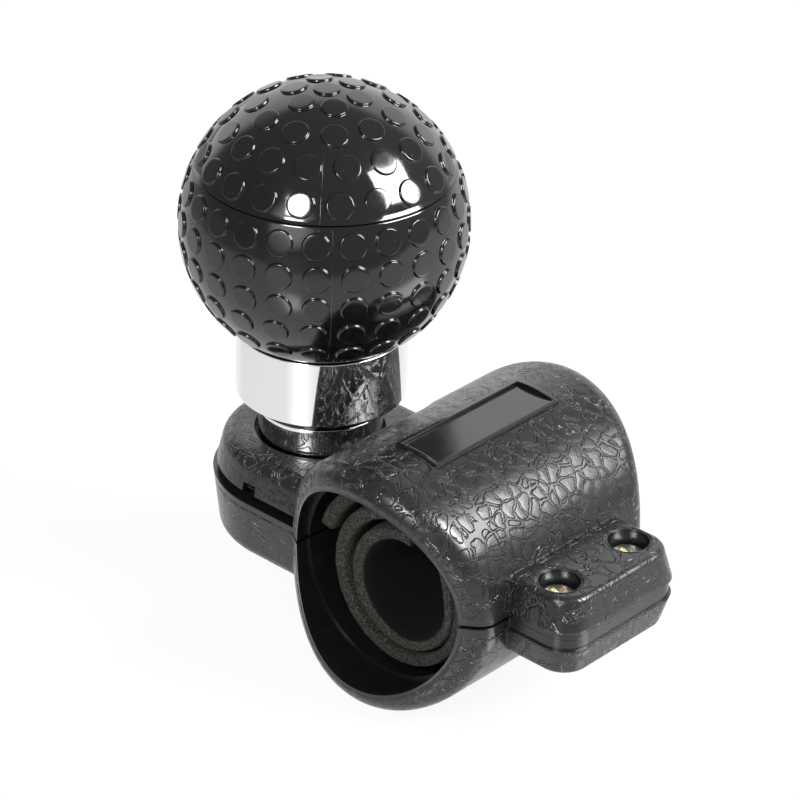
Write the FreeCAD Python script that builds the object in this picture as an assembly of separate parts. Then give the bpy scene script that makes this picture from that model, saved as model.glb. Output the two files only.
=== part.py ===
"""Steering wheel spinner knob: a split clamp for the wheel's rim, and a ball that turns on a spindle beside it.

Millimetres. X points from the spindle across the bore to the screw ears, Y runs along the bore and Z is up,
along the spindle. Each piece is drawn from the middle of the barrel and then moved, so that the origin
is in the middle of the hole in the foam, where the rim lies.
"""
import FreeCAD, Part
import math
import os

Vec = FreeCAD.Vector
Y_AXIS = Vec(0, 1, 0)
Z_AXIS = Vec(0, 0, 1)
BEYOND = 60.0  # further than any face, for cuts that go right through

# Clamp barrel, the tube round the wheel's rim
barrel_radius = 22.6
barrel_length = 56.0
barrel_end_sweep = 35.2
barrel_end_round = 4.0
mouth_radius = 18.4
mouth_depth = 8.0
bore_radius = 18.0
parting_gap = 0.7

# Boss beside the barrel that carries the spindle
spindle_x = -34.7
boss_upper_radius = 18.1
boss_lower_radius = 18.8
boss_draft = 1.4
boss_top = 7.0
boss_bottom = -12.6
boss_gap = 1.6
boss_top_round = 3.0
boss_bottom_round = 2.8
recess_radius = 11.6
recess_depth = 2.2
notch_width = 3.0
notch_height = 1.7
notch_depth = 1.5
relief_foot_radius = 14.0
relief_slope = 0.71

# Screw ears on the other side
ear_reach = 35.8
ear_half_width = 15.0
ear_corner = 5.0
ear_draft = 1.3
ear_top = 7.1
ear_bottom = -7.6
ear_root_depth = 4.0
ear_edge_round = 1.2
ear_band_inset = 0.35
upper_band_height = 1.0
lower_band_height = 2.0

# Bare panel recess along the top of the barrel
panel_x = 1.1
panel_y = 0.5
panel_length = 29.4
panel_width = 8.1
panel_depth = 0.5
panel_rim_width = 0.75
panel_rim_height = 0.3

# Clamp screws and nuts
screw_x = 28.2
screw_pitch = 17.8
screw_radius = 2.0
screw_head_radius = 3.2
screw_head_height = 2.2
screw_length = 8.0
screw_slot_width = 0.9
screw_slot_length = 3.4
screw_slot_depth = 1.2
counterbore_radius = 3.6
screw_seat = 2.6
clamp_nut_flats = 7.0
clamp_nut_height = 3.2
clamp_nut_seat = -2.6
thread_clearance = 0.05
hole_clearance = 0.2
pocket_clearance = 0.2

# Foam strip rolled up inside the bore
foam_hole_radius = 8.9
foam_hole_offset = 4.6
foam_thickness = 2.55
foam_thickness_swing = 0.45
foam_length = 42.0
foam_pitch = 3.0
foam_pitch_swing = 0.8
foam_start_angle = 108.0
foam_end_angle = 881.0
foam_blend_from = 30.0
foam_blend_to = 105.0
foam_arc_angle = 17.0

# Neck that stands in the boss and carries the ball
neck_foot_radius = 11.2
neck_waist_radius = 10.2
neck_waist_z = 10.8
neck_top_z = 14.2
neck_seat_radius = 9.4
neck_seat_z = 16.6

# Spindle bolt, its sleeve, bushes, washers and nut
bolt_radius = 4.0
bolt_head_flats = 13.0
bolt_head_height = 5.3
bolt_end_z = 53.0
washer_thickness = 1.4
washer_radius = 7.2
head_seat = -5.6
sleeve_radius = 6.0
sleeve_top = 43.6
running_clearance = 0.05
thrust_washer_thickness = 1.0
bush_wall = 1.95
bush_flange_thickness = 1.5
bush_length = 8.0
axial_play = 0.2
top_washer_thickness = 1.6
spindle_nut_height = 6.5

# Ball in two mouldings, and the plated collar under it
ball_radius = 24.7
ball_z = 47.5
seam_height = 10.3
seam_chamfer = 0.3
cap_spigot_radius = 19.9
cap_spigot_length = 3.6
cap_wall = 2.4
cap_spigot_wall = 1.8
cap_dome_height = 20.4
shell_wall = 2.7
shell_waist = 8.8
snap_clearance = 0.2
hub_radius = 10.6
hub_top = 41.9
hub_floor = 31.0
rib_count = 6
rib_thickness = 1.6
rib_top = 37.0
collar_radius = 15.0
collar_bottom = 15.1
collar_gap = 0.1
collar_wall = 1.65
collar_foot_round = 0.5
collar_lip_round = 0.2
spigot_bottom = 15.4

# Raised buttons all over the ball: latitude, how many, and the first one's longitude, in degrees
pip_radius = 2.3
pip_height = 0.4
pip_top_inset = 0.3
pip_root = 1.0
pip_sides = 12
cap_pip_rows = [
    (90.0, 1, 0.0),
    (76.5, 6, 326.0),
    (61.5, 11, 320.0),
    (47.3, 16, 303.0),
    (32.6, 20, 320.0),
]
shell_pip_rows = [
    (16.8, 24, 324.8),
    (3.6, 24, 325.4),
    (-9.8, 24, 325.4),
    (-23.4, 22, 325.4),
    (-38.5, 20, 327.0),
]


def box(x0, x1, y0, y1, z0, z1):
    """A block between two corners."""
    return Part.makeBox(x1 - x0, y1 - y0, z1 - z0, Vec(x0, y0, z0))


def post(radius, z0, z1, x=spindle_x, y=0.0):
    """An upright cylinder."""
    return Part.makeCylinder(radius, z1 - z0, Vec(x, y, z0), Z_AXIS)


def ring(outer, inner, z0, z1, x=spindle_x, y=0.0):
    """An upright tube or washer."""
    return post(outer, z0, z1, x, y).cut(post(inner, z0, z1, x, y))


def hexagon(flats, z0, z1, x=spindle_x, y=0.0):
    """An upright hexagonal bar, measured across its flats."""
    corner = flats / math.sqrt(3)
    points = [Vec(x + corner * math.cos(math.radians(60 * i)), y + corner * math.sin(math.radians(60 * i)), z0)
              for i in range(6)]
    face = Part.Face(Part.makePolygon(points + points[:1]))
    return face.extrude(Vec(0, 0, z1 - z0))


def turned(edges):
    """A body turned about the spindle from edges in the plane of the spindle and X, in radius and height."""
    face = Part.Face(Part.Wire(edges))
    solid = face.revolve(Vec(0, 0, 0), Z_AXIS, 360)
    solid.translate(Vec(spindle_x, 0, 0))
    return solid


def rz(radius, height):
    """A point of a turned outline."""
    return Vec(radius, 0, height)


def line(start, end):
    return Part.LineSegment(start, end).toShape()


def arc(start, middle, end):
    return Part.Arc(start, middle, end).toShape()


def outline(points):
    """Straight edges through the points, in order."""
    return [line(a, b) for a, b in zip(points, points[1:])]


def barrel():
    """The whole tube. Its rounded ends stand out furthest along the top and bottom, and its mouths are wider."""
    half = barrel_length / 2
    solid = Part.makeCylinder(barrel_radius, barrel_length, Vec(0, -half, 0), Y_AXIS)
    for side in (-1, 1):
        solid = solid.common(post(barrel_end_sweep, -BEYOND, BEYOND, 0, side * (half - barrel_end_sweep)))
    solid = solid.cut(clear_bore())
    rims = [e for e in solid.Edges if e.BoundBox.ZLength > barrel_radius + bore_radius]
    solid = solid.makeFillet(barrel_end_round, rims)
    for side in (-1, 1):
        solid = solid.cut(Part.makeCylinder(mouth_radius, BEYOND, Vec(0, side * (half - mouth_depth), 0), Y_AXIS * side))
    return solid


def boss_outline(radius, z):
    """Half a circle round the spindle, with straight sides that run into the barrel."""
    inner_x = -bore_radius / 2
    return Part.Wire([
        line(Vec(inner_x, -radius, z), Vec(inner_x, radius, z)),
        line(Vec(inner_x, radius, z), Vec(spindle_x, radius, z)),
        arc(Vec(spindle_x, radius, z), Vec(spindle_x - radius, 0, z), Vec(spindle_x, -radius, z)),
        line(Vec(spindle_x, -radius, z), Vec(inner_x, -radius, z))])


def boss(radius, split_z, end_z, edge_round):
    """One half of the boss, drafted from the split to its end, with the end's edge rounded."""
    solid = Part.makeLoft([boss_outline(radius, split_z), boss_outline(radius - boss_draft, end_z)], True)
    edges = [e for e in solid.Edges
             if all(abs(v.Z - end_z) < 0.01 for v in e.Vertexes) and e.BoundBox.XMin < spindle_x + 1]
    return solid.makeFillet(edge_round, edges)


def ear_outline(inset, z):
    """The ears seen from above: a bar along the barrel with rounded outer corners."""
    inner_x = barrel_radius - ear_root_depth
    outer_x = ear_reach - inset
    side_y = ear_half_width - inset
    corner_x = outer_x - ear_corner
    corner_y = side_y - ear_corner
    mid = ear_corner * math.sqrt(0.5)
    return Part.Wire([
        line(Vec(inner_x, side_y, z), Vec(inner_x, -side_y, z)),
        line(Vec(inner_x, -side_y, z), Vec(corner_x, -side_y, z)),
        arc(Vec(corner_x, -side_y, z), Vec(corner_x + mid, -corner_y - mid, z), Vec(outer_x, -corner_y, z)),
        line(Vec(outer_x, -corner_y, z), Vec(outer_x, corner_y, z)),
        arc(Vec(outer_x, corner_y, z), Vec(corner_x + mid, corner_y + mid, z), Vec(corner_x, side_y, z)),
        line(Vec(corner_x, side_y, z), Vec(inner_x, side_y, z))])


def ear(band_z, end_z):
    """One half of the ears: a plain band at the split, then the drafted body with a rounded edge."""
    band = Part.Face(ear_outline(ear_band_inset, 0)).extrude(Vec(0, 0, band_z))
    body = Part.makeLoft([ear_outline(0, band_z), ear_outline(ear_draft, end_z)], True)
    rim = [e for e in body.Edges
           if all(abs(v.Z - end_z) < 0.01 for v in e.Vertexes) and e.BoundBox.XMax > barrel_radius]
    return body.makeFillet(ear_edge_round, rim).fuse(band)


def screw_places():
    """Where the two clamp screws stand along the ears."""
    return [("front", -screw_pitch / 2), ("rear", screw_pitch / 2)]


def along_bore(radius):
    """A cylinder along the barrel, through both its ends."""
    return Part.makeCylinder(radius, 2 * BEYOND, Vec(0, -BEYOND, 0), Y_AXIS)


def panel_block(margin):
    """An upright block over the panel, wider than it by a margin all round."""
    half_x = panel_width / 2 + margin
    half_y = panel_length / 2 + margin
    return box(panel_x - half_x, panel_x + half_x, panel_y - half_y, panel_y + half_y, 0, BEYOND)


def panel_frame():
    """The thin raised frame round the panel, following the barrel's curve."""
    skin = along_bore(barrel_radius + panel_rim_height).cut(along_bore(barrel_radius - panel_depth))
    return skin.common(panel_block(panel_rim_width))


def panel_hollow():
    """What is taken out of the barrel for the panel, down to a curved floor."""
    return panel_block(0).cut(along_bore(barrel_radius - panel_depth))


def clear_bore():
    """The whole bore, taken out of the barrel and of what is added to it."""
    return along_bore(bore_radius)


def relief():
    """The flared room round the collar that dishes the barrel's side."""
    height = BEYOND - boss_top
    return Part.makeCone(relief_foot_radius, relief_foot_radius + relief_slope * height, height,
                         Vec(spindle_x, 0, boss_top), Z_AXIS)


def half_space(z0, z1):
    """Everything between two heights."""
    return box(-BEYOND, BEYOND, -BEYOND, BEYOND, z0, z1)


def clamp_upper_half():
    """Barrel top, upper boss with the neck's recess, and the ears with the screw heads' pockets."""
    shell = barrel().common(half_space(parting_gap / 2, BEYOND))
    upper = boss(boss_upper_radius, boss_gap / 2, boss_top, boss_top_round)
    solid = shell.fuse([upper.cut(clear_bore()), ear(upper_band_height, ear_top).cut(clear_bore()), panel_frame()])
    solid = solid.cut(panel_hollow()).cut(relief())
    solid = solid.cut(post(recess_radius, boss_top - recess_depth, boss_top + 1))
    solid = solid.cut(post(bolt_radius + hole_clearance, 0, boss_top))
    solid = solid.cut(box(spindle_x - notch_width / 2, spindle_x + notch_width / 2,
                          -BEYOND, notch_depth - boss_upper_radius, 0, boss_gap / 2 + notch_height))
    for _, y in screw_places():
        solid = solid.cut(post(counterbore_radius, screw_seat, ear_top + 1, screw_x, y))
        solid = solid.cut(post(screw_radius + hole_clearance, -1, ear_top, screw_x, y))
    return solid.removeSplitter()


def clamp_lower_half():
    """Barrel bottom, lower boss with the bolt head's pocket, and the ears with the nuts' pockets."""
    shell = barrel().common(half_space(-BEYOND, -parting_gap / 2))
    lower = boss(boss_lower_radius, -boss_gap / 2, boss_bottom, boss_bottom_round)
    solid = shell.fuse([lower.cut(clear_bore()), ear(-lower_band_height, ear_bottom).cut(clear_bore())])
    solid = solid.cut(post(bolt_radius + hole_clearance, boss_bottom - 1, 0))
    solid = solid.cut(post(washer_radius + pocket_clearance * 2, boss_bottom - 1, head_seat))
    for _, y in screw_places():
        solid = solid.cut(post(screw_radius + hole_clearance, ear_bottom - 1, 1, screw_x, y))
        solid = solid.cut(hexagon(clamp_nut_flats + pocket_clearance, ear_bottom - 1, clamp_nut_seat, screw_x, y))
    return solid.removeSplitter()


def clamp_screw(y):
    """A pan-head screw with a cross recess."""
    head = post(screw_head_radius, screw_seat, screw_seat + screw_head_height, screw_x, y)
    top = [e for e in head.Edges if e.BoundBox.ZMin > screw_seat + screw_head_height - 0.01]
    head = head.makeFillet(screw_head_height * 0.45, top)
    half_long = screw_slot_length / 2
    half_wide = screw_slot_width / 2
    slot_z = screw_seat + screw_head_height - screw_slot_depth
    top_z = screw_seat + screw_head_height + 1
    head = head.cut(box(screw_x - half_long, screw_x + half_long, y - half_wide, y + half_wide, slot_z, top_z))
    head = head.cut(box(screw_x - half_wide, screw_x + half_wide, y - half_long, y + half_long, slot_z, top_z))
    return head.fuse(post(screw_radius, screw_seat - screw_length, screw_seat, screw_x, y)).removeSplitter()


def clamp_nut(y):
    """A hexagonal nut in its pocket under the lower ear."""
    bottom = clamp_nut_seat - clamp_nut_height
    nut = hexagon(clamp_nut_flats, bottom, clamp_nut_seat, screw_x, y)
    return nut.cut(post(screw_radius + thread_clearance, bottom - 1, clamp_nut_seat + 1, screw_x, y))


def foam_layer(angle):
    """How many layers lie under the strip at an angle along its roll: it climbs over its own start once a turn."""
    turn, within = divmod(angle - foam_blend_from, 360.0)
    climb = min(within / (foam_blend_to - foam_blend_from), 1.0)
    return max(turn - 1 + climb * climb * (3 - 2 * climb), 0)


def foam_point(angle, depth):
    """A point of the roll's section, at a share of the strip's thickness. The foam is pressed thin towards the
    ears, where the turns lie close, and opens out on the other side."""
    radians = math.radians(angle)
    pitch = foam_pitch - foam_pitch_swing * math.cos(radians)
    thickness = foam_thickness - foam_thickness_swing * math.cos(radians)
    radius = foam_hole_radius + foam_layer(angle) * pitch + depth * thickness
    return Vec(foam_hole_offset + radius * math.cos(radians), -foam_length / 2, radius * math.sin(radians))


def foam_side(depth):
    """One face of the strip along the whole roll, as short arcs."""
    count = round((foam_end_angle - foam_start_angle) / foam_arc_angle)
    step = (foam_end_angle - foam_start_angle) / (2 * count)
    points = [foam_point(foam_start_angle + step * i, depth) for i in range(2 * count + 1)]
    return [arc(*points[i:i + 3]) for i in range(0, 2 * count, 2)]


def foam_liner():
    """One strip of foam, rolled up two and a bit turns, as a section extruded along the bore."""
    starts = line(foam_point(foam_start_angle, 0), foam_point(foam_start_angle, 1))
    ends = line(foam_point(foam_end_angle, 0), foam_point(foam_end_angle, 1))
    wire = Part.Wire(Part.__sortEdges__(foam_side(0) + foam_side(1) + [starts, ends]))
    return Part.Face(wire).extrude(Vec(0, foam_length, 0))


def pivot_neck():
    """The waisted neck: its foot stands in the boss, and its raised seat carries the sleeve."""
    foot_z = boss_top - recess_depth
    bore = bolt_radius + hole_clearance
    edges = outline([rz(bore, foot_z), rz(neck_foot_radius, foot_z), rz(neck_foot_radius, boss_top)])
    edges.append(arc(rz(neck_foot_radius, boss_top), rz(neck_waist_radius, neck_waist_z),
                     rz(neck_foot_radius, neck_top_z)))
    edges += outline([rz(neck_foot_radius, neck_top_z), rz(neck_seat_radius, neck_top_z),
                      rz(neck_seat_radius, neck_seat_z), rz(bore, neck_seat_z), rz(bore, foot_z)])
    return turned(edges)


def spindle_bolt():
    """A hexagon-head bolt that stands up through the boss, the neck and the ball."""
    head_top = head_seat - washer_thickness
    head = hexagon(bolt_head_flats, head_top - bolt_head_height, head_top)
    return head.fuse(post(bolt_radius, head_top, bolt_end_z)).removeSplitter()


def bolt_washer():
    return ring(washer_radius, bolt_radius + hole_clearance, head_seat - washer_thickness, head_seat)


def bearing_sleeve():
    """The steel sleeve that the bushes turn on, clamped between the neck and the top washer."""
    return ring(sleeve_radius, bolt_radius + hole_clearance, neck_seat_z, sleeve_top)


def thrust_washer():
    """The washer on the neck that the lower bush turns on."""
    return ring(neck_seat_radius, sleeve_radius + hole_clearance, neck_seat_z, neck_seat_z + thrust_washer_thickness)


def bush_base():
    """Height of the lower bush's flange, just above its washer."""
    return neck_seat_z + thrust_washer_thickness + running_clearance


def bush_bore():
    return sleeve_radius + running_clearance


def lower_bush():
    """A flanged plain bush pressed into the hub from below."""
    z0 = bush_base()
    flange_z = z0 + bush_flange_thickness
    body = post(neck_seat_radius, z0, flange_z).fuse(post(bush_bore() + bush_wall, flange_z, flange_z + bush_length))
    return body.cut(post(bush_bore(), z0 - 1, flange_z + bush_length + 1)).removeSplitter()


def upper_bush():
    """The same bush the other way up, pressed into the hub from above."""
    z1 = hub_top + bush_flange_thickness
    body = post(neck_seat_radius, hub_top, z1).fuse(post(bush_bore() + bush_wall, hub_top - bush_length, hub_top))
    return body.cut(post(bush_bore(), hub_top - bush_length - 1, z1 + 1)).removeSplitter()


def top_washer():
    return ring(neck_seat_radius, bolt_radius + hole_clearance, sleeve_top, sleeve_top + top_washer_thickness)


def spindle_nut():
    z0 = sleeve_top + top_washer_thickness
    nut = hexagon(bolt_head_flats, z0, z0 + spindle_nut_height)
    return nut.cut(post(bolt_radius + thread_clearance, z0 - 1, z0 + spindle_nut_height + 1))


def ball_point(height, radius=ball_radius):
    """A point of the ball's outline at a height above its middle, or of a sphere inside it."""
    return rz(math.sqrt(radius * radius - height * height), ball_z + height)


def pip(latitude, longitude):
    """One button: a low disc with a sloping edge, standing on the ball's surface."""
    def rim(radius, height):
        points = [Vec(radius * math.cos(2 * math.pi * i / pip_sides), radius * math.sin(2 * math.pi * i / pip_sides),
                      height) for i in range(pip_sides)]
        return Part.makePolygon(points + points[:1])
    edge_drop = pip_radius * pip_radius / (2 * ball_radius)
    top = ball_radius + pip_height - edge_drop / 2
    root = ball_radius - pip_root
    solid = Part.makeLoft([rim(pip_radius, root), rim(pip_radius, top - pip_height / 2),
                           rim(pip_radius - pip_top_inset, top)], True, True)
    solid.rotate(Vec(0, 0, 0), Y_AXIS, 90 - latitude)
    solid.rotate(Vec(0, 0, 0), Z_AXIS, longitude)
    solid.translate(Vec(spindle_x, 0, ball_z))
    return solid


def pips(rows):
    """Every button of the given rows."""
    return [pip(latitude, first + 360.0 * i / count) for latitude, count, first in rows for i in range(count)]


def spigot_root():
    """Where the ball's outline runs into the spigot inside the collar."""
    spigot_radius = collar_radius - collar_wall
    return ball_point(-math.sqrt(ball_radius ** 2 - spigot_radius ** 2))


def knob_lower_shell():
    """Lower ball moulding: a hollow shell with the hub in the middle and the spigot that the collar grips."""
    seam = ball_z + seam_height
    inner = ball_radius - shell_wall
    opening = cap_spigot_radius + snap_clearance
    bore = bush_bore() + bush_wall
    seat = bush_base() + bush_flange_thickness
    flange_room = neck_seat_radius + 2 * hole_clearance
    start = ball_point(seam_height - seam_chamfer)
    end = spigot_root()
    edges = [arc(start, ball_point(-seam_height), end)]
    edges += outline([
        end, rz(end.x, spigot_bottom), rz(flange_room, spigot_bottom), rz(flange_room, seat),
        rz(bore, seat), rz(bore, hub_top), rz(hub_radius, hub_top), rz(hub_radius, hub_floor),
        ball_point(hub_floor - ball_z, inner), ball_point(-shell_waist, inner), ball_point(0, inner),
        rz(opening, seam - cap_spigot_length - snap_clearance), rz(opening, seam),
        rz(ball_point(seam_height).x - seam_chamfer, seam), start])
    solid = turned(edges)
    inside = Part.makeSphere(ball_radius - shell_wall / 2, Vec(spindle_x, 0, ball_z))
    ribs = []
    for i in range(rib_count):
        rib = box(hub_radius - rib_thickness / 2, ball_radius, -rib_thickness / 2, rib_thickness / 2,
                  hub_floor - rib_thickness / 2, rib_top)
        rib.rotate(Vec(0, 0, 0), Z_AXIS, 360.0 * i / rib_count)
        rib.translate(Vec(spindle_x, 0, 0))
        ribs.append(rib.common(inside))
    return solid.fuse(ribs + pips(shell_pip_rows)).removeSplitter()


def knob_cap():
    """Upper ball moulding: a domed cap that snaps into the lower shell and covers the nut."""
    seam = ball_z + seam_height
    spigot_end = seam - cap_spigot_length
    spigot_inner = cap_spigot_radius - cap_spigot_wall
    inner = ball_radius - cap_wall
    start = ball_point(seam_height + seam_chamfer)
    pole = rz(0, ball_z + ball_radius)
    edges = [arc(start, ball_point(cap_dome_height), pole)]
    edges += outline([
        pole, rz(0, ball_z + inner), ball_point(cap_dome_height, inner),
        rz(spigot_inner, ball_z + math.sqrt(inner ** 2 - spigot_inner ** 2)), rz(spigot_inner, spigot_end),
        rz(cap_spigot_radius, spigot_end), rz(cap_spigot_radius, seam),
        rz(ball_point(seam_height).x - seam_chamfer, seam), start])
    return turned(edges).fuse(pips(cap_pip_rows)).removeSplitter()


def chrome_collar():
    """The plated ring on the spigot, dished on top so that it lies close under the ball."""
    solid = ring(collar_radius, collar_radius - collar_wall, collar_bottom, ball_z)
    solid = solid.cut(Part.makeSphere(ball_radius + collar_gap, Vec(spindle_x, 0, ball_z)))
    outer = [e for e in solid.Edges if e.BoundBox.ZLength < 0.01 and e.BoundBox.XLength > 2 * collar_radius - 0.01]
    solid = solid.makeFillet(collar_lip_round, [e for e in outer if e.BoundBox.ZMin > collar_bottom + 1])
    foot = [e for e in solid.Edges if e.BoundBox.ZLength < 0.01 and e.BoundBox.XLength > 2 * collar_radius - 0.01]
    return solid.makeFillet(collar_foot_round, [e for e in foot if e.BoundBox.ZMin < collar_bottom + 1])


pieces = {
    "clamp_upper_half": clamp_upper_half(),
    "clamp_lower_half": clamp_lower_half(),
    "foam_liner": foam_liner(),
    "pivot_neck": pivot_neck(),
    "spindle_bolt": spindle_bolt(),
    "bolt_washer": bolt_washer(),
    "bearing_sleeve": bearing_sleeve(),
    "thrust_washer": thrust_washer(),
    "lower_bush": lower_bush(),
    "upper_bush": upper_bush(),
    "top_washer": top_washer(),
    "spindle_nut": spindle_nut(),
    "knob_lower_shell": knob_lower_shell(),
    "knob_cap": knob_cap(),
    "chrome_collar": chrome_collar(),
}
for place, screw_y in screw_places():
    pieces["clamp_screw_" + place] = clamp_screw(screw_y)
    pieces["clamp_nut_" + place] = clamp_nut(screw_y)

os.makedirs("parts", exist_ok=True)
for name, shape in pieces.items():
    shape.translate(Vec(-foam_hole_offset, 0, 0))
    print(name, "solids", len(shape.Solids), "valid", shape.isValid(), "volume", round(shape.Volume, 1))
    shape.exportStep("parts/" + name + ".step")
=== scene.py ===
import bpy, bmesh, math
from mathutils import Matrix, Vector, noise


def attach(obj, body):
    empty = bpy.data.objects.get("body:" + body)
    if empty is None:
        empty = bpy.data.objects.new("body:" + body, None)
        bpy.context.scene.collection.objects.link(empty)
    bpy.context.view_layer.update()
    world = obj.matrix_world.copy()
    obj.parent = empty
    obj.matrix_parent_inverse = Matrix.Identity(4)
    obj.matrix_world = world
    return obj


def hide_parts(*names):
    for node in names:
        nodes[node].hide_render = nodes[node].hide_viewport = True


# Steering wheel spinner knob, dressed for a studio picture.
# The rim hole runs along Y through the origin, and the spindle stands along Z beside it.
# Sizes are in millimetres, and mm turns them into Blender's metres.

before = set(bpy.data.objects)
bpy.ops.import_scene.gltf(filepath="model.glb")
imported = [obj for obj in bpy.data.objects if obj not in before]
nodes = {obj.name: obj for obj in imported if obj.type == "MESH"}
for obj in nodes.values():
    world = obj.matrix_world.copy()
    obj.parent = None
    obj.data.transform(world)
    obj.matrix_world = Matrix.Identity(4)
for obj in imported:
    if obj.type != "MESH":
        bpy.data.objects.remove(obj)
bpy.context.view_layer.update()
scene = bpy.context.scene
scene.view_settings.view_transform = "Standard"
mm = 0.001
spindleX = -39.3  # the knob's axis
boreX = -4.6  # the middle of the plastic barrel
print("frame loaded:", len(nodes), "nodes")


# Helpers for nodes and meshes

smooth = {"interpolation_type": "SMOOTHSTEP"}  # a Map Range that eases in and out


def hexColour(code):
    parts = [int(code[i:i + 2], 16) / 255 for i in (1, 3, 5)]
    return [c / 12.92 if c <= 0.04045 else ((c + 0.055) / 1.055) ** 2.4 for c in parts] + [1.0]


def add(tree, kind, values=None, links=None, **settings):
    # a link's source is a socket, or a node whose first output is meant
    node = tree.nodes.new("ShaderNode" + kind)
    for key, value in settings.items():
        setattr(node, key, value)
    for key, value in (values or {}).items():
        node.inputs[key].default_value = value
    for key, source in (links or {}).items():
        socket = source if isinstance(source, bpy.types.NodeSocket) else source.outputs[0]
        tree.links.new(socket, node.inputs[key])
    return node


def newMaterial(name):
    material = bpy.data.materials.new(name)
    material.use_nodes = True
    tree = material.node_tree
    tree.nodes.clear()
    surface = add(tree, "BsdfPrincipled")
    add(tree, "OutputMaterial", links={"Surface": surface})
    place = add(tree, "TexCoord").outputs["Object"]
    millimetres = add(tree, "VectorMath", {"Scale": 1000.0}, {0: place}, operation="SCALE")
    return material, tree, surface, millimetres


def meshPiece(name, bm, material, body, replaced=(), smoothAngle=None):
    mesh = bpy.data.meshes.new(name)
    bm.to_mesh(mesh)
    bm.free()
    mesh.materials.append(material)
    for face in mesh.polygons:
        face.use_smooth = True
    if smoothAngle:
        mesh.set_sharp_from_angle(angle=math.radians(smoothAngle))
    piece = bpy.data.objects.new(name, mesh)
    scene.collection.objects.link(piece)
    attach(piece, body)
    if replaced:
        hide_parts(*replaced)
    return piece


def skin(bm, rows, closed=True):
    # four-sided faces between each row of points and the next
    for one, two in zip(rows, rows[1:]):
        count = len(one)
        for k in range(count if closed else count - 1):
            m = (k + 1) % count
            bm.faces.new((one[k], one[m], two[m], two[k]))


def turned(outline, steps):
    # an outline of radius and height, turned about the spindle
    bm = bmesh.new()
    rings = []
    for radius, height in outline:
        ring = []
        for i in range(steps):
            a = 2 * math.pi * i / steps
            ring.append(bm.verts.new(((spindleX + radius * math.cos(a)) * mm, radius * math.sin(a) * mm, height * mm)))
        rings.append(ring)
    skin(bm, rings)
    bmesh.ops.remove_doubles(bm, verts=bm.verts, dist=1e-7)
    bmesh.ops.recalc_face_normals(bm, faces=bm.faces)
    return bm


# Materials: each starts from what the real piece is made of. A pattern's scale is its number to a millimetre,
# so smudges at 0.16 are about 6 mm across.

clampFinish = {
    "colour": "#161719", "darkColour": "#0d0e0f", "ior": 1.53,
    "cellMm": 2.9, "cellRandomness": 0.95,  # one island of the grain
    "islandReach": 0.80, "cornerBlend": 0.14,  # how far an island reaches from its middle, in cells
    "contour": 0.075, "moat": 0.045,  # where its groove lies, and half the groove's width, in cells
    "bends": 0.22, "bendMm": 3.0,  # what pushes the cells about
    "wobbles": 0.8, "wobble": 0.04,  # what makes the outlines uneven, in cells
    "islandEdge": (-0.02, 0.05), "dome": (0.05, 0.4),  # how far in from the groove an island rises, in cells
    "depthMm": 0.27, "edgeRoundMm": 0.3,
    "grooveShare": 0.75, "islandShare": 0.10, "domeShare": 0.08,  # heights as shares of the depth
    "grits": 3.4, "grit": 0.02, "outerGrit": 0.4,  # fine grit on the islands, and its share off them
    "wear": 0.35, "wearRange": (0.3, 0.75), "leastWear": 0.55,
    "roughness": 0.26, "grooveRoughness": 0.14, "smoothRoughness": 0.24, "panelRoughness": 0.10,
    "wearRoughness": (-0.04, 0.05),
}
bareMould = {
    # the grain fades in between the two distances
    "bore": (18.7, 19.6), "recess": (11.7, 12.4),  # from the barrel's and the spindle's middle lines
    "pocket": (3.7, 4.2), "pocketAt": (23.6, 8.9, 0),  # from each clamp screw
    "panelAt": (-3.5, 0.5), "panelHalf": (4.85, 15.5), "panelLowest": 15.0, "panel": (0.0, 0.25),
    "partingZ": -0.45, "strip": (1.5, 2.1),  # above and below the parting line
}


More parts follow.
